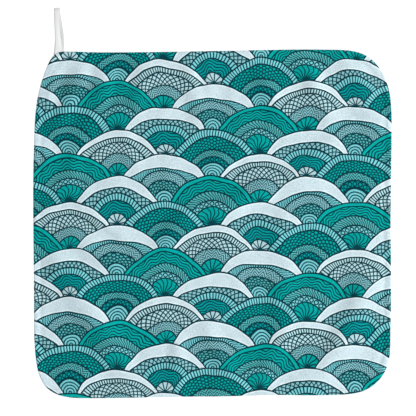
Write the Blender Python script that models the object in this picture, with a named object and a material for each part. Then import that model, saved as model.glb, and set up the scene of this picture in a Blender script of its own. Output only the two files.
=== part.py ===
"""Hand towel: a square of soft cloth with rounded corners, and a ribbon loop sewn to one of them.

It lies face up with its main folds. Metres, +Z up, the loop towards +Y. The outline, the folds and the loop
are measured from the middle of the cloth, and the whole is then centred on its own footprint.
"""

import math
from collections import namedtuple

import bmesh
import bpy
import numpy as np

MM = 0.001

# The cloth
HALF_SIDE = 150.0 * MM
THICKNESS = 2.6 * MM
RINGS = 24  # rings of faces from the middle of the cloth to its edge
RING_SPREAD = 1.15  # above 1, the rings lie closer together near the rim
OUTLINE_STEPS = 40  # steps of the outline between two of its stations
FOLD_STEPS = 24  # straight steps that a fold's crest line is measured along
FOLD_FADE = 0.95  # the share of its height that a fold loses towards its two ends
CLOTH_COLOUR = (0.12, 0.34, 0.36, 1.0)

# The loop
RIBBON_WIDTH = 5.4 * MM
RIBBON_THICKNESS = 1.0 * MM
RIBBON_CROWN = 0.3 * MM  # how far the middle of the ribbon bulges out at the top of the loop
LOOP_STEPS = 10  # steps of the ribbon between two of the loop's stations
CUT_FADE = 12.0 * MM  # the ribbon's slanted cut ends have no more effect this far from the rim
SEAM_GAP = 0.3 * MM  # from the ribbon's cut ends to the edge of the cloth
LOOP_COLOUR = (0.86, 0.86, 0.86, 1.0)

SHARP_ANGLE = math.radians(50)  # faces that meet at a sharper angle keep a crisp edge

# The cloth's edge seen from above, clockwise: where it passes in mm, and which way it heads there in degrees
Station = namedtuple("Station", "place x y heading")
OUTLINE = [
    Station("lower left corner", -141.8, -134.6, 126),
    Station("above that corner", -147.9, -118.0, 99),
    Station("left side, low", -150.2, -78.0, 90),
    Station("left side, high", -150.9, 30.0, 90),
    Station("start of the long slant", -149.8, 80.0, 88),
    Station("on the slant", -144.7, 117.0, 74),
    Station("beside the loop", -136.7, 138.0, 62),
    Station("under the loop", -131.2, 143.8, 29),
    Station("past the loop", -122.0, 145.2, 0),
    Station("top side, left", -92.0, 144.5, 0),
    Station("top side, middle", 10.0, 145.8, 1),
    Station("top side, right", 97.0, 146.8, -1),
    Station("upper right corner", 132.9, 139.1, -39),
    Station("below that corner", 147.8, 114.0, -76),
    Station("right side, high", 150.3, 79.0, -90),
    Station("right side, middle", 149.5, 5.0, -90),
    Station("right side, low", 149.4, -86.0, -92),
    Station("lower right corner", 145.0, -123.1, -116),
    Station("left of that corner", 129.8, -138.5, -152),
    Station("bottom side, right", 100.0, -143.4, -178),
    Station("bottom side, right of middle", 56.0, -143.4, -180),
    Station("bottom side, middle", 0.0, -144.6, -180),
    Station("bottom side, left", -106.0, -146.1, -180),
]

# The rim from its edge inwards: how far in each ring lies, and how high its face and its back are, in mm
RimRing = namedtuple("RimRing", "inset face back")
RIM = [
    RimRing(0.0, 1.9, 0.8),
    RimRing(0.7, 2.5, 0.15),
    RimRing(2.6, 2.8, 0.0),
    RimRing(4.1, 2.5, 0.0),
    RimRing(5.7, 2.25, 0.0),
    RimRing(9.4, 2.6, 0.0),
]

# The folds: a crest line from its start through its middle to its end, with its half width and height in mm
Fold = namedtuple("Fold", "place start middle end half_width height")
FOLDS = [
    Fold("loop corner, outer", (-130, 139), (-136, 117), (-144, 94), 8, 1.3),
    Fold("loop corner, middle", (-109, 145), (-121, 101), (-141, 73), 10, 1.6),
    Fold("loop corner, inner", (-90, 146), (-93, 108), (-112, 72), 11, 1.8),
    Fold("top side, left", (-53, 145), (-62, 109), (-73, 83), 13, 1.9),
    Fold("top side, left, turned back", (-79, 89), (-71, 66), (-61, 39), 11, 1.4),
    Fold("top side, middle", (-20, 146), (-16, 111), (-5, 81), 13, 1.8),
    Fold("top side, middle, narrow", (-6, 146), (-4, 123), (-3, 103), 8, 0.9),
    Fold("top side, right", (30, 146), (48, 113), (58, 71), 15, 2.4),
    Fold("upper right corner, inner", (71, 146), (89, 108), (106, 74), 13, 2.6),
    Fold("upper right corner, outer", (100, 146), (122, 118), (136, 81), 14, 2.4),
    Fold("right side, high", (117, 78), (94, 64), (77, 41), 14, 1.9),
    Fold("right side, middle", (107, 39), (127, 30), (146, 27), 11, 1.4),
    Fold("above the long fold", (-12, 46), (15, 61), (47, 75), 12, 2.0),
    Fold("long fold, left part", (-47, -23), (-27, 3), (-4, 20), 14, 2.3),
    Fold("long fold, middle part", (-14, 14), (25, 21), (54, 38), 14, 3.0),
    Fold("long fold, right part", (45, 34), (80, 41), (117, 37), 13, 2.1),
    Fold("below the long fold", (-15, -28), (8, -20), (33, -18), 13, 1.3),
    Fold("left side, high", (-110, 79), (-117, 51), (-129, 19), 12, 1.4),
    Fold("left side, short", (-99, 35), (-79, 29), (-59, 16), 14, 1.3),
    Fold("left side, narrow", (-116, 18), (-88, -1), (-62, -21), 9, 1.6),
    Fold("left side, broad", (-131, -1), (-96, -24), (-57, -46), 13, 2.6),
    Fold("lower left corner", (-140, -12), (-104, -72), (-59, -144), 19, 3.4),
    Fold("bottom side, left", (-30, -89), (-29, -114), (-30, -146), 11, 1.8),
    Fold("bottom side, middle", (-9, -79), (6, -109), (23, -144), 13, 2.5),
    Fold("bottom side, right", (62, -82), (51, -107), (35, -144), 14, 2.0),
    Fold("right of the middle, high", (66, 20), (59, -9), (58, -33), 16, 1.7),
    Fold("right of the middle, low", (60, -23), (59, -59), (60, -96), 17, 1.9),
    Fold("lower right corner", (127, -20), (117, -82), (75, -144), 20, 3.1),
]

# The loop's ribbon from the side, from its lower end round to its upper end: how far it is above the middle
# of the cloth and how high its own middle is, in mm, which way it heads in degrees, and where it lies sideways
LoopStation = namedtuple("LoopStation", "place y z heading x")
LOOP = [
    LoopStation("lower end", 145.6, 0.5, 0, -128.2),
    LoopStation("along the surface", 162.0, 0.5, 0, -128.0),
    LoopStation("start of the turn", 177.8, 0.5, 0, -130.2),
    LoopStation("tip", 181.35, 4.05, 90, -130.4),
    LoopStation("end of the turn", 177.8, 7.6, 180, -130.5),
    LoopStation("top of the arch", 160.0, 6.5, 192, -130.0),
    LoopStation("upper end", 145.6, 1.8, 184, -129.7),
]


def clear_scene():
    """Removes every object that the file holds."""
    for thing in list(bpy.data.objects):
        bpy.data.objects.remove(thing, do_unlink=True)


def material(name, colour, roughness):
    """A plain cloth finish."""
    finish = bpy.data.materials.new(name)
    finish.use_nodes = True
    shader = finish.node_tree.nodes["Principled BSDF"]
    shader.inputs["Base Color"].default_value = colour
    shader.inputs["Roughness"].default_value = roughness
    shader.inputs["Metallic"].default_value = 0.0
    return finish


def smooth_pass(start, end, start_heading, end_heading, steps):
    """Points from start up to but not at end: the cubic Bezier curve that leaves and arrives at the headings.

    Its handles are the chord over three times the squared cosine of a quarter of the turn, as on an arc.
    """
    start, end = np.array(start), np.array(end)
    turn = (end_heading - start_heading + 180) % 360 - 180
    handle = np.linalg.norm(end - start) / (3 * math.cos(math.radians(turn) / 4) ** 2)
    out = handle * np.array([math.cos(math.radians(start_heading)), math.sin(math.radians(start_heading))])
    back = handle * np.array([math.cos(math.radians(end_heading)), math.sin(math.radians(end_heading))])
    t = (np.arange(steps) / steps)[:, None]
    controls = (start, start + out, end - back, end)
    weights = ((1 - t) ** 3, 3 * t * (1 - t) ** 2, 3 * t * t * (1 - t), t**3)
    return sum(weight * control for weight, control in zip(weights, controls))


def cloth_outline():
    """The closed edge of the cloth, with points close together, its first point repeated at its end."""
    passes = [
        smooth_pass((a.x, a.y), (b.x, b.y), a.heading, b.heading, OUTLINE_STEPS)
        for a, b in zip(OUTLINE, OUTLINE[1:] + OUTLINE[:1])
    ]
    points = np.concatenate(passes) * MM
    return np.concatenate([points, points[:1]])


def at_shares(line, shares):
    """The points that lie at the given shares of a line's length."""
    steps = np.linalg.norm(np.diff(line, axis=0), axis=1)
    along = np.concatenate([[0.0], np.cumsum(steps)]) / steps.sum()
    return np.stack([np.interp(shares, along, line[:, k]) for k in range(line.shape[1])], axis=1)


def crest_line(fold):
    """The fold's crest: the parabola through its start, middle and end."""
    start, middle, end = (np.array(p) * MM for p in (fold.start, fold.middle, fold.end))
    t = np.linspace(0, 1, FOLD_STEPS + 1)[:, None]
    return start * (1 - t) * (1 - 2 * t) + 4 * middle * t * (1 - t) + end * t * (2 * t - 1)


def lift(x, y):
    """How high the back of the cloth is at each place: nothing where it lies flat, more under the folds.

    Across a fold the height falls as a squared cosine, and along it as a parabola towards both ends. Where
    folds meet, their heights add up as the sides of a right angle do.
    """
    place = np.stack([x, y], axis=1)[:, None, :]
    total = np.zeros(len(x))
    for fold in FOLDS:
        crest = crest_line(fold)
        first, run = crest[:-1], np.diff(crest, axis=0)
        share = (((place - first) * run).sum(2) / (run**2).sum(1)).clip(0, 1)
        distance = np.linalg.norm(place - first - share[..., None] * run, axis=2)
        nearest = distance.argmin(1)
        rows = np.arange(len(x))
        along = (nearest + share[rows, nearest]) / len(run)
        across = (distance[rows, nearest] / (fold.half_width * MM)).clip(0, 1)
        fade = 1 - FOLD_FADE * (2 * along - 1) ** 2
        total += (fold.height * MM * fade * np.cos(across * math.pi / 2) ** 2) ** 2
    return np.sqrt(total)


def ring_tables():
    """Each ring's scale from the cloth's middle and its face and back heights, from the edge to the middle."""
    inner = RINGS - len(RIM) + 1
    share = (np.arange(1, inner + 1) / inner) ** RING_SPREAD
    last = RIM[-1].inset * MM
    inset = np.concatenate([[ring.inset * MM for ring in RIM], last + (HALF_SIDE - last) * share])
    face = np.concatenate([[ring.face * MM for ring in RIM], np.full(inner, THICKNESS)])
    back = np.concatenate([[ring.back * MM for ring in RIM], np.zeros(inner)])
    return 1 - inset / HALF_SIDE, face, back


def split_along_folds(bm):
    """Splits each face by the diagonal that stays nearer to the folds, so that a slanted crest runs smoothly."""
    quads = np.array([[v.co[:2] for v in face.verts] for face in bm.faces])

    def miss(a, b):
        """How far the straight line between two corners leaves the folds at its middle."""
        middle = (quads[:, a] + quads[:, b]) / 2
        return np.abs((lift(*quads[:, a].T) + lift(*quads[:, b].T)) / 2 - lift(*middle.T))

    for face, first in zip(bm.faces[:], (miss(1, 3) < miss(0, 2)).astype(int)):
        bmesh.utils.face_split(face, face.verts[first], face.verts[first + 2])


def make_cloth():
    """The towel's cloth: a square grid drawn out to the outline, ring by ring, with a back under its face."""
    bm = bmesh.new()
    bmesh.ops.create_grid(bm, x_segments=2 * RINGS, y_segments=2 * RINGS, size=RINGS)
    made = bmesh.ops.extrude_face_region(bm, geom=bm.faces[:])
    backs = {thing for thing in made["geom"] if isinstance(thing, bmesh.types.BMVert)}
    is_back = np.array([vert in backs for vert in bm.verts])
    places = np.array([vert.co[:2] for vert in bm.verts]).round()
    ring = np.abs(places).max(1)
    right, up = (places / np.maximum(ring, 1)[:, None]).T
    # Quarters of the way round: up the left side, along the top, down the right side and back along the bottom
    quarter = np.select(
        [right == -1, up == 1, right == 1],
        [(1 + up) / 2, 1 + (1 + right) / 2, 2 + (1 - up) / 2],
        3 + (1 - right) / 2,
    )
    scale, face, back = (table[RINGS - ring.astype(int)] for table in ring_tables())
    across = at_shares(cloth_outline(), quarter / 4) * scale[:, None]
    height = lift(across[:, 0], across[:, 1]) + np.where(is_back, back, face)
    for vert, (x, y), z in zip(bm.verts, across, height):
        vert.co = (x, y, z)
    split_along_folds(bm)
    bmesh.ops.recalc_face_normals(bm, faces=bm.faces[:])
    return finished(bm, "towel_cloth", material("towel_cloth", CLOTH_COLOUR, 0.95))


def make_loop():
    """The hanging loop: a ribbon laid along its stations, its cut ends following the edge of the cloth."""
    passes = [
        smooth_pass((a.y, a.z), (b.y, b.z), a.heading, b.heading, LOOP_STEPS) for a, b in zip(LOOP, LOOP[1:])
    ]
    path = np.concatenate(passes + [[(LOOP[-1].y, LOOP[-1].z)]]) * MM
    count = len(path)
    middle = np.interp(np.arange(count) / LOOP_STEPS, np.arange(len(LOOP)), [s.x for s in LOOP]) * MM
    ahead = np.gradient(path, axis=0)
    ahead /= np.linalg.norm(ahead, axis=1)[:, None]
    outwards = np.stack([ahead[:, 1], -ahead[:, 0]], axis=1)

    side = np.array([-0.5, 0.0, 0.5])
    rise = (path[:, 1:] - path[0, 1]) / np.ptp(path[:, 1])
    bulge = RIBBON_CROWN * rise * np.array([0.0, 1.0, 0.0])
    x = middle[:, None] + RIBBON_WIDTH * side
    y = path[:, :1] + outwards[:, :1] * bulge
    z = path[:, 1:] + outwards[:, 1:] * bulge

    root = LOOP[0].y * MM
    outline = cloth_outline()
    upper_left = outline[(outline[:, 0] < 0) & (outline[:, 1] > root - CUT_FADE)]
    edge = np.interp(x, upper_left[:, 0], upper_left[:, 1]) + SEAM_GAP
    nearness = (1 - (path[:, :1] - root) / CUT_FADE).clip(0, 1)
    y += (edge - root) * nearness

    bm = bmesh.new()
    verts = [bm.verts.new(p) for p in zip(x.ravel(), y.ravel(), z.ravel())]
    width = len(side)
    for row in range(count - 1):
        for column in range(width - 1):
            first = row * width + column
            bm.faces.new([verts[k] for k in (first, first + 1, first + width + 1, first + width)])
    loop = finished(bm, "hanging_loop", material("hanging_loop", LOOP_COLOUR, 0.6))
    thicken = loop.modifiers.new("thickness", "SOLIDIFY")
    thicken.thickness = RIBBON_THICKNESS
    thicken.offset = 0.0
    thicken.use_even_offset = True
    return loop


def finished(bm, name, finish):
    """Turns the mesh into a named object with its material, shaded smooth but for its sharp edges."""
    mesh = bpy.data.meshes.new(name)
    bm.to_mesh(mesh)
    bm.free()
    mesh.materials.append(finish)
    mesh.shade_smooth()
    mesh.set_sharp_from_angle(angle=SHARP_ANGLE)
    thing = bpy.data.objects.new(name, mesh)
    bpy.context.scene.collection.objects.link(thing)
    return thing


def centre_footprint(things):
    """Moves the things together, so that the middle of the area they cover is over the origin."""
    bpy.context.view_layer.update()
    graph = bpy.context.evaluated_depsgraph_get()
    corners = np.array([corner[:] for thing in things for corner in thing.evaluated_get(graph).bound_box])
    middle = (corners.min(0) + corners.max(0)) / 2
    for thing in things:
        thing.location = (-middle[0], -middle[1], 0.0)


clear_scene()
centre_footprint([make_cloth(), make_loop()])
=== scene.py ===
import math
from collections import namedtuple

import bpy
import numpy as np
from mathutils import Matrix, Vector


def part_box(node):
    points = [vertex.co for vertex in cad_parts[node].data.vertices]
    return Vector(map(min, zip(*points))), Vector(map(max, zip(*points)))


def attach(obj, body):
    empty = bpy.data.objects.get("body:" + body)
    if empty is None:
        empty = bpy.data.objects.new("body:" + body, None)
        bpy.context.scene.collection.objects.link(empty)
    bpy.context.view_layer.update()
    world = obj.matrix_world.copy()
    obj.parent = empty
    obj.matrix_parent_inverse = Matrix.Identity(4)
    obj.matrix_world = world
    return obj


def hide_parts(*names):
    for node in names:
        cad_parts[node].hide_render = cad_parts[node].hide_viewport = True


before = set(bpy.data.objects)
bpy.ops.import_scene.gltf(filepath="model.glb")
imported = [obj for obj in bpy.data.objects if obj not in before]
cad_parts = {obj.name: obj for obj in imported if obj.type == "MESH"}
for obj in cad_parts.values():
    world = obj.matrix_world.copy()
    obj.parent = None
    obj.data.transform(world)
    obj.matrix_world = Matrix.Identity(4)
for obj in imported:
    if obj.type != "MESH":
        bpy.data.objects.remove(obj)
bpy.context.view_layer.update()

# The cloth. It is one square of soft brushed cloth with rounded corners, printed on its face and white
# behind. Its edge is rolled in and sewn, so it stands up in a soft rim with a groove behind it. It lies
# face up, with low folds, most of them in from its corners and sides, and the longest across its middle.
MM = 0.001  # metres
HALF_SIDE = 150.0 * MM  # from the edge of the cloth to its middle, as its rings of faces are spaced
THICKNESS = 2.6 * MM
RINGS = 100  # rings of faces from the middle of the cloth to its seam
OUTLINE_STEPS = 40  # steps of the outline between two of its stations
FOLD_STEPS = 24  # straight steps that a fold's crest line is measured along
FOLD_FADE = 0.95  # the share of its height that a fold loses towards its two ends
MAP_NAME = "flat"  # each piece has a map of this name, on which it lies flat
MAP_SPAN = 320.0 * MM  # the cloth's own map is this wide, and its middle is the middle of the cloth

# The cloth's edge seen from above, clockwise: where it passes in mm, and which way it heads in degrees
Station = namedtuple("Station", "place x y heading")
OUTLINE = [
    Station("lower left corner", -141.8, -134.6, 126),
    Station("above that corner", -147.9, -118.0, 99),
    Station("left side, low", -150.2, -78.0, 90),
    Station("left side, high", -150.9, 30.0, 90),
    Station("start of the long slant", -149.8, 80.0, 88),
    Station("on the slant", -144.7, 117.0, 74),
    Station("beside the loop", -136.7, 138.0, 62),
    Station("under the loop", -131.2, 143.8, 29),
    Station("past the loop", -122.0, 145.2, 0),
    Station("top side, left", -92.0, 144.5, 0),
    Station("top side, middle", 10.0, 145.8, 1),
    Station("top side, right", 97.0, 146.8, -1),
    Station("upper right corner", 132.9, 139.1, -39),
    Station("below that corner", 147.8, 114.0, -76),
    Station("right side, high", 150.3, 79.0, -90),
    Station("right side, middle", 149.5, 5.0, -90),
    Station("right side, low", 149.4, -86.0, -92),
    Station("lower right corner", 145.0, -123.1, -116),
    Station("left of that corner", 129.8, -138.5, -152),
    Station("bottom side, right", 100.0, -143.4, -178),
    Station("bottom side, right of middle", 56.0, -143.4, -180),
    Station("bottom side, middle", 0.0, -144.6, -180),
    Station("bottom side, left", -106.0, -146.1, -180),
]

# The rim cut across, from the seam over the face and from the seam under the back: how far in from the
# edge and how high it passes in mm, which way it heads in degrees, and in how many steps it goes on
RimStation = namedtuple("RimStation", "place inset height heading steps")
SEAM = RimStation("seam, sunk between face and back", 0.6, 1.35, 180, 3)
RIM_CREST = RimStation("crest of the rolled edge", 2.6, 2.8, 0, 5)
FACE_RIM = [
    SEAM,
    RimStation("outermost", 0.0, 2.0, 90, 5),
    RIM_CREST,
    RimStation("groove behind it", 5.7, 2.25, 0, 5),
    RimStation("level cloth", 9.4, THICKNESS / MM, 0, 0),
]
BACK_RIM = [
    SEAM,
    RimStation("outermost", 0.1, 0.8, -90, 5),
    RimStation("down on the surface", 2.4, 0.0, 0, 5),
    RimStation("under the groove", 5.7, 0.0, 0, 5),
    RimStation("level cloth", 9.4, 0.0, 0, 0),
]

# The folds: a crest line from its start through its middle to its end, its half width and its height in mm
Fold = namedtuple("Fold", "place start middle end half_width height")
FOLDS = [
    Fold("loop corner, outer", (-130, 139), (-136, 117), (-144, 94), 8, 1.3),
    Fold("loop corner, middle", (-109, 145), (-121, 101), (-141, 73), 10, 1.6),
    Fold("loop corner, inner", (-90, 146), (-93, 108), (-112, 72), 11, 1.8),
    Fold("top side, left", (-53, 145), (-62, 109), (-73, 83), 13, 1.9),
    Fold("top side, left, turned back", (-79, 89), (-71, 66), (-61, 39), 11, 1.4),
    Fold("top side, middle", (-20, 146), (-16, 111), (-5, 81), 13, 1.8),
    Fold("top side, middle, narrow", (-6, 146), (-4, 123), (-3, 103), 8, 0.9),
    Fold("top side, right", (30, 146), (48, 113), (58, 71), 15, 2.4),
    Fold("upper right corner, inner", (71, 146), (89, 108), (106, 74), 13, 2.6),
    Fold("upper right corner, outer", (100, 146), (122, 118), (136, 81), 14, 2.4),
    Fold("right side, high", (117, 78), (94, 64), (77, 41), 14, 1.9),
    Fold("right side, middle", (107, 39), (127, 30), (146, 27), 11, 1.4),
    Fold("above the long fold", (-12, 46), (15, 61), (47, 75), 12, 2.0),
    Fold("long fold, left part", (-47, -23), (-27, 3), (-4, 20), 14, 2.3),
    Fold("long fold, middle part", (-14, 14), (25, 21), (54, 38), 14, 3.0),
    Fold("long fold, right part", (45, 34), (80, 41), (117, 37), 13, 2.1),
    Fold("below the long fold", (-15, -28), (8, -20), (33, -18), 13, 1.3),
    Fold("left side, high", (-110, 79), (-117, 51), (-129, 19), 12, 1.4),
    Fold("left side, short", (-99, 35), (-79, 29), (-59, 16), 14, 1.3),
    Fold("left side, narrow", (-116, 18), (-88, -1), (-62, -21), 9, 1.6),
    Fold("left side, broad", (-131, -1), (-96, -24), (-57, -46), 13, 2.6),
    Fold("lower left corner", (-140, -12), (-104, -72), (-59, -144), 19, 3.4),
    Fold("bottom side, left", (-30, -89), (-29, -114), (-30, -146), 11, 1.8),
    Fold("bottom side, middle", (-9, -79), (6, -109), (23, -144), 13, 2.5),
    Fold("bottom side, right", (62, -82), (51, -107), (35, -144), 14, 2.0),
    Fold("right of the middle, high", (66, 20), (59, -9), (58, -33), 16, 1.7),
    Fold("right of the middle, low", (60, -23), (59, -59), (60, -96), 17, 1.9),
    Fold("lower right corner", (127, -20), (117, -82), (75, -144), 20, 3.1),
]

# Creases pressed into the face, as soft troughs, most of them along the foot of a fold
CREASES = [
    Fold("loop corner, between the outer folds", (-123, 138), (-128, 111), (-140, 86), 4, 0.35),
    Fold("loop corner, between the inner folds", (-100, 140), (-106, 111), (-126, 74), 5, 0.4),
    Fold("loop corner, inner side", (-81, 140), (-84, 108), (-96, 79), 6, 0.4),
    Fold("top side, right of its left fold", (-37, 140), (-41, 113), (-47, 86), 8, 0.3),
    Fold("top side, right of its narrow fold", (8, 140), (9, 114), (12, 91), 9, 0.45),
    Fold("upper right corner, inner side", (54, 141), (69, 109), (77, 74), 6, 0.4),
    Fold("upper right corner, between its folds", (85, 140), (110, 103), (126, 76), 6, 0.45),
    Fold("right side", (97, 18), (111, 14), (124, 18), 8, 0.4),
    Fold("above the long fold", (-9, 34), (32, 52), (72, 57), 9, 0.6),
    Fold("below the long fold", (1, 10), (17, 1), (38, 7), 9, 0.4),
    Fold("left of the middle", (-47, 66), (-46, 39), (-49, 12), 10, 0.45),
    Fold("left side, above the narrow fold", (-135, 11), (-104, 2), (-74, -22), 5, 0.3),
    Fold("left side, below the broad fold", (-125, -22), (-98, -49), (-59, -64), 7, 0.5),
    Fold("lower left corner, outer side", (-120, -89), (-104, -112), (-84, -141), 9, 0.4),
    Fold("bottom side, left of its middle fold", (-20, -89), (-11, -116), (-5, -143), 6, 0.35),
    Fold("bottom side, right of its middle fold", (18, -82), (27, -109), (28, -141), 6, 0.35),
    Fold("lower right corner, inner side", (102, -82), (87, -107), (60, -131), 8, 0.5),
]

# What keeps brushed cloth from ever lying quite level: long low waves that cross each other
WAVE_COUNT = 16
LONGEST_WAVE = 60.0 * MM
SHORTEST_WAVE = 10.0 * MM
WAVE_TURN = 137.5  # degrees from one wave's heading to the next one's, so that no direction stands out
WAVE_STEEPNESS = 0.018  # the slope of each wave's steepest place


def one_step(heading):
    """The step of length one that goes in a heading, which is in degrees."""
    return np.array([math.cos(math.radians(heading)), math.sin(math.radians(heading))])


def smooth_pass(start, end, start_heading, end_heading, steps):
    """Points from start up to but not at end, on the cubic Bezier curve that leaves and arrives as headed.

    Its handles are the chord over three times the squared cosine of a quarter of the turn, as on an arc.
    """
    start, end = np.array(start), np.array(end)
    turn = (end_heading - start_heading + 180) % 360 - 180
    handle = np.linalg.norm(end - start) / (3 * math.cos(math.radians(turn) / 4) ** 2)
    controls = (start, start + handle * one_step(start_heading), end - handle * one_step(end_heading), end)
    t = (np.arange(steps) / steps)[:, None]
    weights = ((1 - t) ** 3, 3 * t * (1 - t) ** 2, 3 * t * t * (1 - t), t**3)
    return sum(weight * control for weight, control in zip(weights, controls))


def cloth_outline():
    """The closed edge of the cloth, with points close together, its first point repeated at its end."""
    passes = [
        smooth_pass((a.x, a.y), (b.x, b.y), a.heading, b.heading, OUTLINE_STEPS)
        for a, b in zip(OUTLINE, OUTLINE[1:] + OUTLINE[:1])
    ]
    points = np.concatenate(passes) * MM
    return np.concatenate([points, points[:1]])


def at_shares(line, shares):
    """The points that lie at the given shares of a line's length."""
    steps = np.linalg.norm(np.diff(line, axis=0), axis=1)
    along = np.concatenate([[0.0], np.cumsum(steps)]) / steps.sum()
    return np.stack([np.interp(shares, along, line[:, k]) for k in range(line.shape[1])], axis=-1)


def rise(fold, x, y):
    """A fold's height over each place: a squared cosine across it, fading as a parabola to both its ends.

    Its crest line is the parabola through its start, middle and end, measured as short straight steps.
    """
    start, middle, end = (np.array(p) * MM for p in (fold.start, fold.middle, fold.end))
    t = np.linspace(0, 1, FOLD_STEPS + 1)[:, None]
    crest = start * (1 - t) * (1 - 2 * t) + 4 * middle * t * (1 - t) + end * t * (2 * t - 1)
    reach = fold.half_width * MM
    low, high = crest.min(0) - reach, crest.max(0) + reach
    near = (x > low[0]) & (x < high[0]) & (y > low[1]) & (y < high[1])
    place = np.stack([x[near], y[near]], axis=1)[:, None, :]
    first, run = crest[:-1], np.diff(crest, axis=0)
    share = (((place - first) * run).sum(2) / (run**2).sum(1)).clip(0, 1)
    apart = np.linalg.norm(place - first - share[..., None] * run, axis=2)
    nearest = apart.argmin(1)
    rows = np.arange(len(nearest))
    along = (nearest + share[rows, nearest]) / len(run)
    across = (apart[rows, nearest] / reach).clip(0, 1)
    fade = 1 - FOLD_FADE * (2 * along - 1) ** 2
    height = np.zeros(len(x))
    height[near] = fold.height * MM * fade * np.cos(across * math.pi / 2) ** 2
    return height


def lift(x, y):
    """How high the back of the cloth is: the root of the sum of the squared heights of the folds there."""
    return np.sqrt(sum(rise(fold, x, y) ** 2 for fold in FOLDS))


def pressed(x, y):
    """How far the face puffs out or is pressed in: the low waves, less the creases' depths.

    The waves are sines. Each is shorter than the one before by the same ratio, and lower by that ratio.
    It is moved on by its number squared, in radians, so that the crests don't line up.
    """
    waves = np.zeros(len(x))
    for k in range(WAVE_COUNT):
        length = LONGEST_WAVE * (SHORTEST_WAVE / LONGEST_WAVE) ** (k / (WAVE_COUNT - 1))
        right, up = one_step(WAVE_TURN * k)
        way = x * right + y * up
        waves += WAVE_STEEPNESS * length / (2 * math.pi) * np.sin(2 * math.pi * way / length + k * k)
    return waves - sum(rise(crease, x, y) for crease in CREASES)


def cut_across(stations):
    """The rim cut across, from its seam inwards, and evenly on from there to the middle of the cloth.

    Returns for each ring how far it is inside the edge, its height, and how far it is from the middle of
    the cloth, measured along the flat cloth.
    """
    passes = [
        smooth_pass((a.inset, a.height), (b.inset, b.height), a.heading, b.heading, a.steps)
        for a, b in zip(stations, stations[1:])
    ]
    curve = np.concatenate(passes) * MM
    last = np.array([stations[-1].inset, stations[-1].height]) * MM
    level = np.linspace(last, (HALF_SIDE, last[1]), RINGS + 1 - len(curve))
    section = np.concatenate([curve, level])
    length = np.linalg.norm(np.diff(section, axis=0), axis=1)
    flat = np.concatenate([[0.0], np.cumsum(length)])
    return section[:, 0], section[:, 1], flat[-1] - flat


def cloth_side(stations, is_face):
    """One side of the cloth on a square grid: its points and their places on its map, row by row.

    The grid goes ring by ring: each ring is the outline, drawn in towards the middle of the cloth. The
    height is that of the rim's section, the folds under it and, on the face, what is pressed into it.
    """
    step = np.arange(-RINGS, RINGS + 1)
    column, row = (grid.ravel() for grid in np.meshgrid(step, step))
    ring = np.maximum(np.abs(column), np.abs(row))
    right, up = column / np.maximum(ring, 1), row / np.maximum(ring, 1)
    # Quarters of the way round: up the left side, along the top, down the right, back along the bottom
    quarter = np.select(
        [right == -1, up == 1, right == 1],
        [(1 + up) / 2, 1 + (1 + right) / 2, 2 + (1 - up) / 2],
        3 + (1 - right) / 2,
    )
    inset, height, flat = (table[RINGS - ring] for table in cut_across(stations))
    edge = at_shares(cloth_outline(), quarter / 4)
    x, y = (edge * (1 - inset / HALF_SIDE)[:, None]).T
    z = height + lift(x, y)
    if is_face:
        away_from_seam = (inset / (RIM_CREST.inset * MM)).clip(0, 1)
        z = z + pressed(x, y) * away_from_seam
    return np.stack([x, y, z], axis=1), edge * (flat / HALF_SIDE)[:, None] / MAP_SPAN + 0.5


def grid_quads(numbers, flip):
    """The quads of a grid of point numbers, turned over if flip is true."""
    corners = (numbers[:-1, :-1], numbers[:-1, 1:], numbers[1:, 1:], numbers[1:, :-1])
    quads = np.stack([corner.ravel() for corner in corners], axis=1)
    return quads[:, ::-1] if flip else quads


def new_piece(name, points, faces, place_on_map, materials, material_of=0):
    """A smooth mesh object: its points, its faces, the points' places on its map, and its materials."""
    mesh = bpy.data.meshes.new(name)
    mesh.from_pydata(points.tolist(), [], faces)
    corner = np.empty(len(mesh.loops), np.int32)
    mesh.loops.foreach_get("vertex_index", corner)
    own_map = mesh.uv_layers.new(name=MAP_NAME)
    own_map.uv.foreach_set("vector", place_on_map[corner].astype(np.float32).ravel())
    for finish in materials:
        mesh.materials.append(finish)
    numbers = np.broadcast_to(material_of, len(faces)).astype(np.int32)
    mesh.polygons.foreach_set("material_index", numbers)
    mesh.shade_smooth()
    mesh.validate()
    piece = bpy.data.objects.new(name, mesh)
    bpy.context.scene.collection.objects.link(piece)
    return piece


# The cloth lies where its node does: the node's box gives the shift from the middle of the cloth
node_low, node_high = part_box("towel_cloth")
outline = cloth_outline()
SHIFT = np.array([
    (node_low.x + node_high.x) / 2 - (outline[:, 0].min() + outline[:, 0].max()) / 2,
    (node_low.y + node_high.y) / 2 - (outline[:, 1].min() + outline[:, 1].max()) / 2,
    0.0,
])


# The print. The face is printed in teal, sea green, aqua and white inks, with dark outlines and fine
# lines, in the old pattern of overlapping scales: rows of fans, each row half hidden by the next one down.
# The inks soak in a little, and the brushed cloth breaks them up into a soft grain.
FAN_RADIUS = 40.0  # mm, as are all the print's sizes, measured on the flat cloth
OUTLINE_WIDTH = 1.25
FINE_LINE = 0.98
BAND_LINE = 1.2 * FINE_LINE  # the lines between a fan's bands
INK_SPREAD = 0.2  # how far an ink fades into the next one
WHITE_EDGE = 0.95  # how wide the white line is that runs inside each pale crescent
WOBBLE = 5.0  # how far the hand-drawn lines stray at most
WOBBLE_LENGTH = 42.0  # how long a stretch they stray over
OTHER_NOISE = (900.0, 500.0, 0.0)  # how far off the noise is read that moves them up and down
CRESCENT_TAPER = 1.15  # a crescent thins out from its top as the cosine of this many times the turn
DEEPER = 0.16  # how much darker the inks are at a fan's centre than at its rim, as a share
KIND_STEP = 4  # from one fan's kind to the next one's in its row, so that no fan meets its own kind

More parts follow.
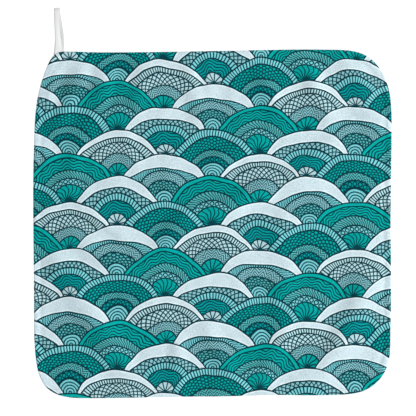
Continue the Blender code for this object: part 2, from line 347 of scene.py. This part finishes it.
# What fills the bands
RIPPLE_LENGTH = 11.5
RIPPLE_HEIGHT = 1.2  # from the middle of a ripple to its top
SWAY = 0.09  # how far swaying rays turn to each side, in radians
SWAY_RATE = 0.55  # how fast they do, in radians for each mm outwards
CHEVRON_WIDTH = 2.6  # in pitches of its lines
CHEVRON_SLOPE = 1.2  # how far outwards for each mm round
DIAMOND_WIDTH = 1.6  # in pitches
SLANTED = 0.72  # how far off a slanting line is, as a share of how far off it is along the arc
BEAD_RADIUS = 0.36  # in pitches

INKS = {
    "dark": (0.0, 0.035, 0.048),
    "line": (0.0, 0.050, 0.065),
    "deep teal": (0.0, 0.390, 0.366),
    "dusk teal": (0.0, 0.335, 0.340),
    "sea green": (0.098, 0.470, 0.480),
    "aqua": (0.215, 0.670, 0.722),
    "grey aqua": (0.258, 0.558, 0.610),
    "frost": (0.480, 0.735, 0.780),
    "pale": (0.585, 0.720, 0.775),
    "white": (0.735, 0.885, 0.935),
}


class Field:
    """A number that varies over a material, made by Math nodes, so that patterns read as formulas."""

    def __init__(self, tree, socket):
        self.tree = tree
        self.socket = socket

    def made(self, operation, *others, clamp=False):
        """What a Math node makes of this number and the others, which are fields or plain numbers."""
        node = self.tree.nodes.new("ShaderNodeMath")
        node.operation = operation
        node.use_clamp = clamp
        for socket, value in zip(node.inputs, (self, *others)):
            if isinstance(value, Field):
                self.tree.links.new(value.socket, socket)
            else:
                socket.default_value = value
        return Field(self.tree, node.outputs[0])

    def __add__(self, other):
        return self.made("ADD", other)

    def __sub__(self, other):
        return self.made("SUBTRACT", other)

    def __rsub__(self, other):
        return self * -1 + other

    def __mul__(self, other):
        return self.made("MULTIPLY", other)

    def __truediv__(self, other):
        return self.made("DIVIDE", other)

    def __abs__(self):
        return self.made("ABSOLUTE")

    def __lt__(self, other):
        return self.made("LESS_THAN", other)


def distance(right, up):
    """How far a place is from a centre that it lies right of and up from."""
    return (right * right + up * up).made("SQRT")


def chosen(mask, value, otherwise):
    """The first value where the mask is one, the second where it is nought."""
    return (value - otherwise) * mask + otherwise


def covered(how_far, half_width):
    """One within half_width of a line, nought beyond it, with an edge as soft as the ink's spread."""
    return ((half_width - how_far) / INK_SPREAD).made("ADD", 0.5, clamp=True)


def off_middle(value, pitch):
    """How far a value is from the middle of its own stretch, where all stretches are one pitch long."""
    return abs((value / pitch).made("FRACT") - 0.5) * pitch


def motif_turn(middle, width):
    """The turn of one motif of about this width, in radians, where a whole number of them goes round."""
    return 2 * math.pi / round(2 * math.pi * middle / width)


def scales(x, y, radius):
    """The scale on top at each place: how far right of and up from its centre that is, its column and row.

    Centres stand in rows half a radius apart, two radii apart along a row, with every other row shifted by
    a radius. The scale on top is the lowest whose circle holds the place, which is in one of three rows.
    """
    pitch = 2 * radius
    lowest = ((y - radius) / (radius / 2)).made("CEIL")
    odd = lowest.made("FLOORED_MODULO", 2.0) * 0.5
    column = (x / pitch - odd).made("ROUND") + odd
    other = (x / pitch - 0.5 + odd).made("ROUND") + 0.5 - odd
    up = y - lowest * (radius / 2)
    right, other_right = x - column * pitch, x - other * pitch
    in_first = distance(right, up) < radius
    in_second = distance(other_right, up - radius / 2) < radius
    second = (1 - in_first) * in_second
    third = (1 - in_first) * (1 - in_second)
    past = second + third * 2
    return (
        chosen(second, other_right, right),
        up - past * (radius / 2),
        chosen(second, other, column),
        lowest + past,
    )


def rays(turn, reach, middle, pitch):
    """Lines out from a fan's centre, a pitch apart at the middle of their band."""
    return covered(off_middle(turn, motif_turn(middle, pitch)) * reach, FINE_LINE / 2)


def swaying_rays(turn, reach, middle, pitch):
    """The same lines, swaying from side to side as they go out."""
    return rays(turn + (reach * SWAY_RATE).made("SINE") * SWAY, reach, middle, pitch)


def rings(turn, reach, middle, pitch):
    """Arcs about a fan's centre."""
    return covered(off_middle(reach, pitch), FINE_LINE / 2)


def rippled_rings(turn, reach, middle, pitch):
    """Arcs that go in and out as they pass round, in ripples of one length and height."""
    ripple = (turn * (2 * math.pi * middle / RIPPLE_LENGTH)).made("SINE")
    return rings(turn, reach + ripple * RIPPLE_HEIGHT, middle, pitch)


def chevrons(turn, reach, middle, pitch):
    """Arcs broken into points that all look outwards."""
    off = off_middle(turn, motif_turn(middle, CHEVRON_WIDTH * pitch)) * middle
    return rings(turn, reach + off * CHEVRON_SLOPE, middle, pitch)


def lattice(turn, reach, middle, pitch):
    """Diamonds, where two sets of lines cross as they wind outwards."""
    width = DIAMOND_WIDTH * pitch
    diamond = motif_turn(middle, width)
    slant = reach * (diamond / width)
    one = off_middle(turn + slant, diamond) * middle * SLANTED
    other = off_middle(turn - slant, diamond) * middle * SLANTED
    return covered(one.made("MINIMUM", other), FINE_LINE / 2)


def small_scales(turn, reach, middle, pitch):
    """Rows of small scales that follow the fan."""
    right, up, _, _ = scales(turn * middle, reach, pitch)
    return covered(abs(distance(right, up) - (pitch - FINE_LINE / 2)), FINE_LINE / 2)


def beads(turn, reach, middle, pitch):
    """A row of round beads in the middle of the band, drawn as small circles."""
    bead = motif_turn(middle, pitch)
    along = off_middle(turn + bead / 2, bead) * middle
    return covered(abs(distance(along, reach - middle) - pitch * BEAD_RADIUS), FINE_LINE / 2)


def plain(turn, reach, middle, pitch):
    """No line work."""
    return reach * 0


# A band reaches inwards from its outer radius to the next band's, and its fill's lines are a pitch apart.
# A fan's cap is how thick the pale crescent at its top is, and nought where it has none.
Band = namedtuple("Band", "ink fill outer pitch")
Fan = namedtuple("Fan", "look cap bands")
FANS = [
    Fan("pale crescent over aqua", 11.5, [
        Band("aqua", swaying_rays, FAN_RADIUS, 2.4), Band("grey aqua", chevrons, 24.6, 2.5),
        Band("sea green", small_scales, 16.8, 2.5), Band("aqua", rings, 8.6, 2.4),
    ]),
    Fan("deep teal, rippled", 0.0, [
        Band("deep teal", plain, FAN_RADIUS, 0.0), Band("deep teal", rippled_rings, 35.8, 2.4),
        Band("sea green", swaying_rays, 26.6, 2.35), Band("aqua", beads, 19.4, 4.2),
        Band("deep teal", swaying_rays, 14.2, 2.45),
    ]),
    Fan("pale crescent over grey aqua", 9.5, [
        Band("grey aqua", lattice, FAN_RADIUS, 2.9), Band("aqua", rays, 24.2, 2.4),
        Band("dusk teal", rippled_rings, 18.4, 2.4), Band("frost", rays, 8.2, 2.35),
    ]),
    Fan("teal, small scales", 0.0, [
        Band("aqua", rays, FAN_RADIUS, 2.4), Band("deep teal", small_scales, 33.6, 2.6),
        Band("sea green", chevrons, 23.0, 2.4), Band("dusk teal", beads, 16.4, 4.2),
        Band("aqua", rings, 11.6, 2.4),
    ]),
    Fan("frosted lines", 5.5, [
        Band("frost", rays, FAN_RADIUS, 2.35), Band("frost", lattice, 28.6, 2.7),
        Band("grey aqua", chevrons, 18.8, 2.4), Band("deep teal", swaying_rays, 10.2, 2.4),
    ]),
]


def noise(tree, place, size, detail=2.0):
    """Soft noise about a half, whose lumps are about the given size in the unit of the place."""
    node = tree.nodes.new("ShaderNodeTexNoise")
    node.inputs["Scale"].default_value = 1.0 / size
    node.inputs["Detail"].default_value = detail
    tree.links.new(place, node.inputs["Vector"])
    return Field(tree, node.outputs["Fac"])


def paint(tree, under, over, mask):
    """One colour over another where the mask is one. A colour is a socket or three numbers."""
    node = tree.nodes.new("ShaderNodeMix")
    node.data_type = "RGBA"
    tree.links.new(mask.socket, node.inputs["Factor"])
    # A Mix node has sockets of one name for each kind of value: 6, 7 and output 2 are its colours
    for socket, colour in ((node.inputs[6], under), (node.inputs[7], over)):
        if isinstance(colour, bpy.types.NodeSocket):
            tree.links.new(colour, socket)
        else:
            socket.default_value = (*colour, 1.0)
    return node.outputs[2]


def scaled(tree, vector, factor):
    """A vector or a colour, times a field or a plain number."""
    node = tree.nodes.new("ShaderNodeVectorMath")
    node.operation = "SCALE"
    tree.links.new(vector, node.inputs[0])
    if isinstance(factor, Field):
        tree.links.new(factor.socket, node.inputs["Scale"])
    else:
        node.inputs["Scale"].default_value = factor
    return node.outputs["Vector"]


def on_map(tree):
    """The place on the piece's own map, whose whole width is one."""
    own_map = tree.nodes.new("ShaderNodeUVMap")
    own_map.uv_map = MAP_NAME
    return own_map.outputs["UV"]


def across_and_along(tree, place):
    """The two numbers of a place on a map."""
    split = tree.nodes.new("ShaderNodeSeparateXYZ")
    tree.links.new(place, split.inputs[0])
    return Field(tree, split.outputs["X"]), Field(tree, split.outputs["Y"])


def print_colour(tree):
    """The print, from the cloth's own map: which fan is on top, then its bands, crescent and outline."""
    place = scaled(tree, on_map(tree), MAP_SPAN / MM)
    elsewhere = tree.nodes.new("ShaderNodeVectorMath")
    elsewhere.operation = "ADD"
    elsewhere.inputs[1].default_value = OTHER_NOISE
    tree.links.new(place, elsewhere.inputs[0])
    across, along = across_and_along(tree, place)
    x = across + (noise(tree, place, WOBBLE_LENGTH) - 0.5) * 2 * WOBBLE
    y = along + (noise(tree, elsewhere.outputs["Vector"], WOBBLE_LENGTH) - 0.5) * 2 * WOBBLE

    right, up, column, row = scales(x, y, FAN_RADIUS)
    reach = distance(right, up)
    depth = FAN_RADIUS - reach
    turn = right.made("ARCTAN2", up)
    kind = (row + column * KIND_STEP).made("ROUND").made("FLOORED_MODULO", float(len(FANS)))
    crescent = (turn * CRESCENT_TAPER).made("COSINE").made("MAXIMUM", 0.0)
    deeper = (reach / -FAN_RADIUS + 1.0) * DEEPER

    def inked(under, ink, mask):
        """An ink laid over what is under it, where the mask is one."""
        return paint(tree, under, INKS[ink], mask)

    colour = None
    for number, fan in enumerate(FANS):
        painted = INKS[fan.bands[0].ink]
        inner_edges = [band.outer for band in fan.bands[1:]] + [0.0]
        for band, inner in zip(fan.bands, inner_edges):
            inside = covered(reach, band.outer)
            painted = inked(painted, band.ink, inside)
            fine = band.fill(turn, reach, (band.outer + inner) / 2, band.pitch)
            painted = inked(painted, "line", fine * inside)
            painted = inked(painted, "dark", covered(abs(reach - band.outer), BAND_LINE / 2))
        painted = inked(painted, "dark", deeper)
        if fan.cap:
            # The crescent lies between the fan's outline and one of its own, white with a pale middle
            cap = crescent * fan.cap + OUTLINE_WIDTH
            painted = inked(painted, "dark", covered(depth, cap + OUTLINE_WIDTH))
            painted = inked(painted, "white", covered(depth, cap))
            off_centre = abs(depth - (cap + OUTLINE_WIDTH) / 2)
            painted = inked(painted, "pale", covered(off_centre, (cap - OUTLINE_WIDTH) / 2 - WHITE_EDGE))
        if colour is None:
            colour = painted
        else:
            colour = paint(tree, colour, painted, abs(kind - number) < 0.5)
    return inked(colour, "dark", covered(depth, OUTLINE_WIDTH))


UNDYED = (0.76, 0.79, 0.80)  # the back's white, very slightly cool
GRAIN_DETAIL = 3.0  # layers of ever finer grain that lie on the coarsest one
CLOUD_SIZE = 9 * MM  # the broad, faint changes of tone
CLOUD_TONE = 0.12
TUFT_SIZE = 3.5 * MM  # the nap's larger lumps
TUFT_HEIGHT = 1.5  # as a share of its small lumps' height


def undyed_colour(tree):
    """White cloth, the same all over."""
    node = tree.nodes.new("ShaderNodeRGB")
    node.outputs[0].default_value = (*UNDYED, 1.0)
    return node.outputs[0]


def new_finish(name):
    """A material, with its nodes and its shader."""
    finish = bpy.data.materials.new(name)
    finish.use_nodes = True
    return finish, finish.node_tree, finish.node_tree.nodes["Principled BSDF"]


def roughen(tree, shader, height, depth, strength):
    """Low lumps that show only in a surface's shading, where a height of one stands for the depth."""
    bump = tree.nodes.new("ShaderNodeBump")
    bump.inputs["Strength"].default_value = strength
    bump.inputs["Distance"].default_value = depth
    tree.links.new(height.socket, bump.inputs["Height"])
    tree.links.new(bump.outputs["Normal"], shader.inputs["Normal"])


def brushed_cloth(name, colour_of, roughness, lump, depth, speckle):
    """Brushed cloth: its colour, which a soft grain breaks up, and a nap of small lumps and larger tufts.

    The lumps' size and the nap's depth are in metres. The speckle is how much the grain changes the tone.
    """
    finish, tree, shader = new_finish(name)
    place = tree.nodes.new("ShaderNodeTexCoord").outputs["Object"]
    grain = noise(tree, place, lump, GRAIN_DETAIL)
    tone = (grain - 0.5) * speckle + (noise(tree, place, CLOUD_SIZE) - 0.5) * CLOUD_TONE + 1.0
    tree.links.new(scaled(tree, colour_of(tree), tone), shader.inputs["Base Color"])
    shader.inputs["Roughness"].default_value = roughness
    shader.inputs["Specular IOR Level"].default_value = 0.06
    shader.inputs["Sheen Weight"].default_value = 0.03
    shader.inputs["Sheen Roughness"].default_value = 0.5
    roughen(tree, shader, grain + noise(tree, place, TUFT_SIZE) * TUFT_HEIGHT, depth, strength=0.5)
    return finish


# The towel's two sides. The back's outermost ring is the face's, because the two meet in the seam.
face_points, face_map = cloth_side(FACE_RIM, True)
back_points, back_map = cloth_side(BACK_RIM, False)
side_count = 2 * RINGS + 1
face_numbers = np.arange(side_count**2).reshape(side_count, side_count)
back_numbers = face_numbers.copy()
back_numbers[1:-1, 1:-1] = side_count**2 + np.arange((side_count - 2) ** 2).reshape(side_count - 2, -1)
inner_back = face_numbers[1:-1, 1:-1].ravel()
face_quads, back_quads = grid_quads(face_numbers, False), grid_quads(back_numbers, True)
printed_face = brushed_cloth(
    "printed_face", print_colour, roughness=0.85, lump=0.8 * MM, depth=0.12 * MM, speckle=1.05
)
white_back = brushed_cloth(
    "white_back", undyed_colour, roughness=0.9, lump=1.4 * MM, depth=0.35 * MM, speckle=0.45
)
towel = new_piece(
    "towel",
    np.concatenate([face_points, back_points[inner_back]]) + SHIFT,
    np.concatenate([face_quads, back_quads]).tolist(),
    np.concatenate([face_map, back_map[inner_back]]),
    [printed_face, white_back],
    np.repeat([0, 1], [len(face_quads), len(back_quads)]),
)
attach(towel, "root")
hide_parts("towel_cloth")


# The seam's thread. It closes the rolled edge all the way round with small even stitches, which lie sunk
# between the printed face and the white back and show only from the side.
STITCH_LENGTH = 2.3 * MM
STITCH_PITCH = 3.4 * MM
STITCH_SLANT = 0.35 * MM  # how much higher a stitch ends than it starts
STITCH_BLUNTNESS = 0.3  # how thick its ends are, as a share of its middle
THREAD_RADIUS = 0.24 * MM
THREAD_INSET = 0.45 * MM  # from the edge of the cloth to the middle of the thread
THREAD_COLOUR = (0.74, 0.78, 0.78)
GROOVE_SHADE = 0.72  # the painted shade between the thread's plies, as a share of its colour
PLIES = 2
TWISTS = 5  # how often the plies wind round each other along one stitch


def thread_stitches(sides=6, steps=5):
    """All the stitches as one mesh: each is a tube along the seam, as thick as a half ellipse is high.

    A stitch runs along the drawn-in outline and rises a little from its start to its end. Returns the
    points, the faces, and each point's place along its stitch and round its thread.
    """
    edge = cloth_outline() * (1 - THREAD_INSET / HALF_SIDE)
    perimeter = np.linalg.norm(np.diff(edge, axis=0), axis=1).sum()
    count = round(perimeter / STITCH_PITCH)
    along = np.linspace(0, 1, steps + 1)
    middle = at_shares(edge, (np.arange(count) / count)[:, None] + along * STITCH_LENGTH / perimeter)
    ahead = middle[:, -1] - middle[:, 0]
    ahead /= np.linalg.norm(ahead, axis=1)[:, None]
    outwards = np.stack([-ahead[:, 1], ahead[:, 0]], axis=1)
    folds = lift(*middle.reshape(-1, 2).T).reshape(count, -1)
    level = SEAM.height * MM + folds + STITCH_SLANT * (along - 0.5)
    radius = THREAD_RADIUS * np.sqrt(1 - (2 * along - 1) ** 2).clip(STITCH_BLUNTNESS)
    around = np.arange(sides) / sides * 2 * math.pi
    out = radius[:, None] * np.cos(around)
    flat = middle[:, :, None, :] + outwards[:, None, None, :] * out[None, :, :, None]
    height = level[:, :, None] + radius[:, None] * np.sin(around)
    points = np.concatenate([flat, height[..., None]], axis=3)
    numbers = np.arange(points[..., 0].size).reshape(count, steps + 1, sides)
    beside = np.roll(numbers, -1, axis=2)
    walls = np.stack([numbers[:, :-1], beside[:, :-1], beside[:, 1:], numbers[:, 1:]], axis=-1)
    faces = walls.reshape(-1, 4).tolist() + numbers[:, 0, ::-1].tolist() + numbers[:, -1].tolist()
    one_map = np.stack(np.meshgrid(along, around / 2 / math.pi, indexing="ij"), axis=-1)
    place_on_map = np.broadcast_to(one_map, (count, steps + 1, sides, 2))
    return points.reshape(-1, 3), faces, place_on_map.reshape(-1, 2)


def wave(value):
    """From a half up to one, down to nought and back, once for each whole one of the value."""
    return (value * (2 * math.pi)).made("SINE") * 0.5 + 0.5


def plied_thread(name):
    """A sewing thread's finish: plies that wind round each other, with painted shade between them."""
    finish, tree, shader = new_finish(name)
    along, around = across_and_along(tree, on_map(tree))
    # Painted shade in the grooves between the plies
    groove = wave(along * TWISTS + around * PLIES)
    shaded = tuple(part * GROOVE_SHADE for part in THREAD_COLOUR)
    tree.links.new(paint(tree, THREAD_COLOUR, shaded, groove), shader.inputs["Base Color"])
    shader.inputs["Roughness"].default_value = 0.6
    shader.inputs["Specular IOR Level"].default_value = 0.3
    return finish


thread_points, thread_faces, thread_map = thread_stitches()
stitches = new_piece(
    "seam_stitches", thread_points + SHIFT, thread_faces, thread_map, [plied_thread("thread")]
)
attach(stitches, "root")


# The hanging loop. It is one length of narrow white satin ribbon, folded back on itself. Both its ends go
# into the seam at the upper left corner, the upper one spread flat, and between them it curls a little.
RIBBON_THICKNESS = 0.5 * MM
LOOP_STEPS = 14  # steps of the ribbon between two of its stations
ACROSS = 14  # steps of the ribbon from one of its woven edges to the other
EDGE_POWER = 8  # the higher, the squarer the ribbon is at its edges
SELVEDGE_HEIGHT = 0.09 * MM  # how far the woven edges stand up
SELVEDGE_PLACE = 0.88  # where they are highest, as a share of the ribbon's half width
SELVEDGE_SPREAD = 0.05  # how far from there they have sunk to about a third, as such a share

# The ribbon from its lower end round to its upper end: how far it is above the middle of the cloth and
# how high its own middle is in mm, which way it heads in degrees, where it lies sideways, how wide it is
# and how far its middle bulges out of the loop in mm, and how it rolls in degrees
RibbonStation = namedtuple("RibbonStation", "place y z heading x width bulge roll")
LOOP = [
    RibbonStation("lower end, in the seam", 140.5, 1.00, 0, -128.2, 6.0, 0.0, 0),
    RibbonStation("out of the seam", 146.0, 1.10, 0, -128.1, 5.9, -0.1, -11),
    RibbonStation("down on the surface", 152.0, 1.25, 0, -127.3, 5.9, -0.4, -24),
    RibbonStation("along the surface", 164.0, 1.15, 0, -128.0, 5.8, -0.4, -24),
    RibbonStation("start of the turn", 178.0, 0.52, 0, -130.9, 4.6, -0.1, -4),
    RibbonStation("tip", 181.4, 4.05, 90, -130.4, 5.4, 0.1, 0),
    RibbonStation("end of the turn", 178.0, 7.60, 180, -130.9, 4.1, 0.15, 4),
    RibbonStation("top of the arch", 160.0, 6.40, 192, -130.0, 4.3, 0.25, -6),
    RibbonStation("halfway down", 153.0, 4.32, 199, -129.6, 5.4, 0.3, -6),
    RibbonStation("down to the seam", 147.0, 2.20, 194, -129.7, 6.9, 0.3, -3),
    RibbonStation("upper end, in the seam", 141.0, 1.60, 180, -129.7, 8.6, 0.0, 0),
]


def along_ribbon(column):
    """A column of the table at each step of the ribbon: straight between stations, then evened out.

    The evening out is a moving average over about as many steps as two stations are apart.
    """
    steps = np.arange(LOOP_STEPS * (len(LOOP) - 1) + 1)
    at_stations = [getattr(station, column) for station in LOOP]
    values = np.interp(steps / LOOP_STEPS, np.arange(len(LOOP)), at_stations)
    reach = LOOP_STEPS // 2
    window = 2 * reach + 1
    return np.convolve(np.pad(values, reach, mode="edge"), np.ones(window) / window, mode="valid")


def ribbon():
    """The loop's surface: a flat oval with raised edges, bulged as a parabola, carried along the path.

    The oval's half thickness goes as the root of one less a high power of how far out it is, which comes
    to nothing at both woven edges. Beside each of them it is raised in a bell curve. Returns the points,
    the faces, each point's place across and along the ribbon, and the ribbon's length.
    """
    passes = [
        smooth_pass((a.y, a.z), (b.y, b.z), a.heading, b.heading, LOOP_STEPS)
        for a, b in zip(LOOP, LOOP[1:])
    ]
    path = np.concatenate(passes + [[(LOOP[-1].y, LOOP[-1].z)]]) * MM
    ahead = np.gradient(path, axis=0)
    ahead /= np.linalg.norm(ahead, axis=1)[:, None]
    outwards = np.stack([np.zeros(len(path)), ahead[:, 1], -ahead[:, 0]], axis=1)
    sideways = np.array([1.0, 0.0, 0.0])
    x, width, bulge, roll = (along_ribbon(column) for column in ("x", "width", "bulge", "roll"))
    roll = np.radians(roll)[:, None]
    level = sideways * np.cos(roll) + outwards * np.sin(roll)
    upright = outwards * np.cos(roll) - sideways * np.sin(roll)

    once = np.linspace(-1, 1, ACROSS + 1)
    share = np.concatenate([once, once[-2:0:-1]])
    side = np.concatenate([np.ones(ACROSS + 1), -np.ones(ACROSS - 1)])
    oval = RIBBON_THICKNESS / 2 * np.sqrt(1 - share**EDGE_POWER)
    raised = SELVEDGE_HEIGHT * np.exp(-(((abs(share) - SELVEDGE_PLACE) / SELVEDGE_SPREAD) ** 2))
    out = bulge[:, None] * MM * (1 - share**2) + side * (oval + raised) * (abs(share) < 1)
    middle = np.concatenate([x[:, None] * MM, path], axis=1)
    points = (
        middle[:, None, :]
        + level[:, None, :] * (width[:, None] * MM / 2 * share)[..., None]
        + upright[:, None, :] * out[..., None]
    )
    numbers = np.arange(points[..., 0].size).reshape(len(path), -1)
    beside = np.roll(numbers, -1, axis=1)
    walls = np.stack([numbers[:-1], numbers[1:], beside[1:], beside[:-1]], axis=-1)
    faces = walls.reshape(-1, 4).tolist() + [numbers[0].tolist(), numbers[-1, ::-1].tolist()]
    length = np.concatenate([[0.0], np.cumsum(np.linalg.norm(np.diff(path, axis=0), axis=1))])
    place_on_map = np.stack(np.broadcast_arrays(share / 2 + 0.5, length[:, None] / length[-1]), axis=-1)
    return points.reshape(-1, 3), faces, place_on_map.reshape(-1, 2), length[-1]


SATIN_WHITE = (0.83, 0.835, 0.84)
SATIN_SHADE = (0.73, 0.735, 0.74)  # on its ribs and threads
# The grey of the painted shade along the ribbon's two edges, and below, how wide that band is
EDGE_SHADE_GREY = (0.52, 0.525, 0.53)
SATIN_RIB = 0.38 * MM  # from one cross rib to the next
SATIN_THREADS = 26  # threads along the ribbon, from one of its woven edges to the other
RIB_SHADE = 0.35  # how strongly the ribs and the threads are shaded, at most
THREAD_SHADE = 0.15
THREAD_HEIGHT = 0.5  # as a share of the ribs' height
RIBBON_WIDTH = 6.0  # mm, as its finish counts it
EDGE_SHADE_WIDTH = 0.8  # mm
EDGE_SHADE_SHARE = 0.5  # how strongly the painted shade greys the ribbon's two edges


def satin(name, length):
    """White satin: fine cross ribs, faint threads along the ribbon, painted shade along both edges, a soft
    shine.
    """
    finish, tree, shader = new_finish(name)
    across, along = across_and_along(tree, on_map(tree))
    ribs = wave(along * (length / SATIN_RIB))
    threads = wave(across * SATIN_THREADS)
    from_edge = (0.5 - abs(across - 0.5)) * RIBBON_WIDTH
    colour = paint(tree, SATIN_WHITE, SATIN_SHADE, ribs * RIB_SHADE + threads * THREAD_SHADE)
    # Painted shade: a grey band along both edges of the ribbon
    colour = paint(tree, colour, EDGE_SHADE_GREY, covered(from_edge, EDGE_SHADE_WIDTH) * EDGE_SHADE_SHARE)
    tree.links.new(colour, shader.inputs["Base Color"])
    shader.inputs["Roughness"].default_value = 0.42
    shader.inputs["Specular IOR Level"].default_value = 0.35
    shader.inputs["Sheen Weight"].default_value = 0.1
    roughen(tree, shader, ribs + threads * THREAD_HEIGHT, depth=0.04 * MM, strength=0.35)
    return finish


ribbon_points, ribbon_faces, ribbon_map, ribbon_length = ribbon()
loop = new_piece(
    "ribbon_loop", ribbon_points + SHIFT, ribbon_faces, ribbon_map, [satin("white_satin", ribbon_length)]
)
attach(loop, "root")
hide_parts("hanging_loop")


# The surface it lies on: a plain pale floor, just under the cloth so that the two faces never meet. It
# glows a little, as a light table does, which keeps the shadows faint.
FLOOR_HALF = 8.0  # metres
FLOOR_DROP = 0.05 * MM
FLOOR_GLOW = 0.55
floor_mesh = bpy.data.meshes.new("floor")
floor_mesh.from_pydata(
    [(x * FLOOR_HALF, y * FLOOR_HALF, -FLOOR_DROP) for x, y in ((-1, -1), (1, -1), (1, 1), (-1, 1))],
    [],
    [(0, 1, 2, 3)],
)
floor_finish, _, floor_shader = new_finish("pale_floor")
floor_shader.inputs["Base Color"].default_value = (0.95, 0.95, 0.95, 1.0)
floor_shader.inputs["Roughness"].default_value = 0.9
floor_shader.inputs["Specular IOR Level"].default_value = 0.1
floor_shader.inputs["Emission Color"].default_value = (1.0, 1.0, 1.0, 1.0)
floor_shader.inputs["Emission Strength"].default_value = FLOOR_GLOW
floor_mesh.materials.append(floor_finish)
floor = bpy.data.objects.new("floor", floor_mesh)
bpy.context.scene.collection.objects.link(floor)


# The light: even white all round, and one broad soft lamp high on the right, which brings out the folds.
# The lamp lights the cloth alone, so that no shadow falls beside it.
AROUND = 0.52  # how bright the white all round is
LAMP_PLACE = (2.62, -0.46, 2.05)  # metres, as is its width
LAMP_WIDTH = 1.8
LAMP_POWER = 103.0  # watts
world = bpy.data.worlds.new("even_white")
world.use_nodes = True
sky = world.node_tree.nodes["Background"]
sky.inputs["Color"].default_value = (1.0, 1.0, 1.0, 1.0)
sky.inputs["Strength"].default_value = AROUND
bpy.context.scene.world = world
lamp_data = bpy.data.lights.new("soft_lamp", "AREA")
lamp_data.shape = "DISK"
lamp_data.size = LAMP_WIDTH
lamp_data.energy = LAMP_POWER
lamp = bpy.data.objects.new("soft_lamp", lamp_data)
lamp.location = LAMP_PLACE
lamp.rotation_euler = (-Vector(LAMP_PLACE)).to_track_quat("-Z", "Y").to_euler()
bpy.context.scene.collection.objects.link(lamp)
unlit = bpy.data.collections.new("not_under_the_lamp")
unlit.objects.link(floor)
lamp.light_linking.receiver_collection = unlit
unlit.collection_objects[0].light_linking.link_state = "EXCLUDE"


# The camera looks straight down, with the loop at the top of the picture.
FIELD = 349.4 * MM  # how much of the towel's face the picture's side takes in
FIELD_MIDDLE = (-3.70 * MM, -4.20 * MM)
LENS = 135.0  # mm, as is the sensor's width
SENSOR = 36.0
camera_data = bpy.data.cameras.new("camera")
camera_data.lens = LENS
camera_data.sensor_width = SENSOR
camera = bpy.data.objects.new("camera", camera_data)
camera.location = (*FIELD_MIDDLE, THICKNESS + FIELD * LENS / SENSOR)
bpy.context.scene.collection.objects.link(camera)
bpy.context.scene.camera = camera
bpy.context.scene.view_settings.view_transform = "Standard"
